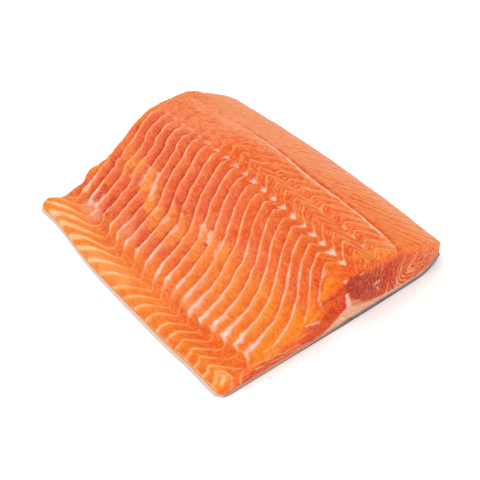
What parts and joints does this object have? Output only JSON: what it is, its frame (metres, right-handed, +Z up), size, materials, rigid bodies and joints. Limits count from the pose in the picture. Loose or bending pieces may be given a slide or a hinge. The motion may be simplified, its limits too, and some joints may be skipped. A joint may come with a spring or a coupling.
{
  "type": "salmon trout fillet",
  "caption": "Raw fillet portion cut across the full width of one side of the fish, lying skin down, with wavy flakes in relief, a thick loin, a thin belly flap and skin underneath.",
  "frame": {"origin": "on the table under the middle of the portion's bounding box", "axes": "+X along the fish to the cut end that shows, +Y across it to the edge of the back, -Y to the edge of the belly, +Z up"},
  "size_m": [0.196, 0.1708, 0.0381],
  "materials": {
    "flesh": "wet, slightly translucent raw fish",
    "fat": "moist cream fat",
    "skin": "wet scaled fish skin, silver to blue grey"
  },
  "bodies": {
    "root": {"flesh": "flesh", "fat": "fat", "skin": "skin"}
  },
  "joints": []
}
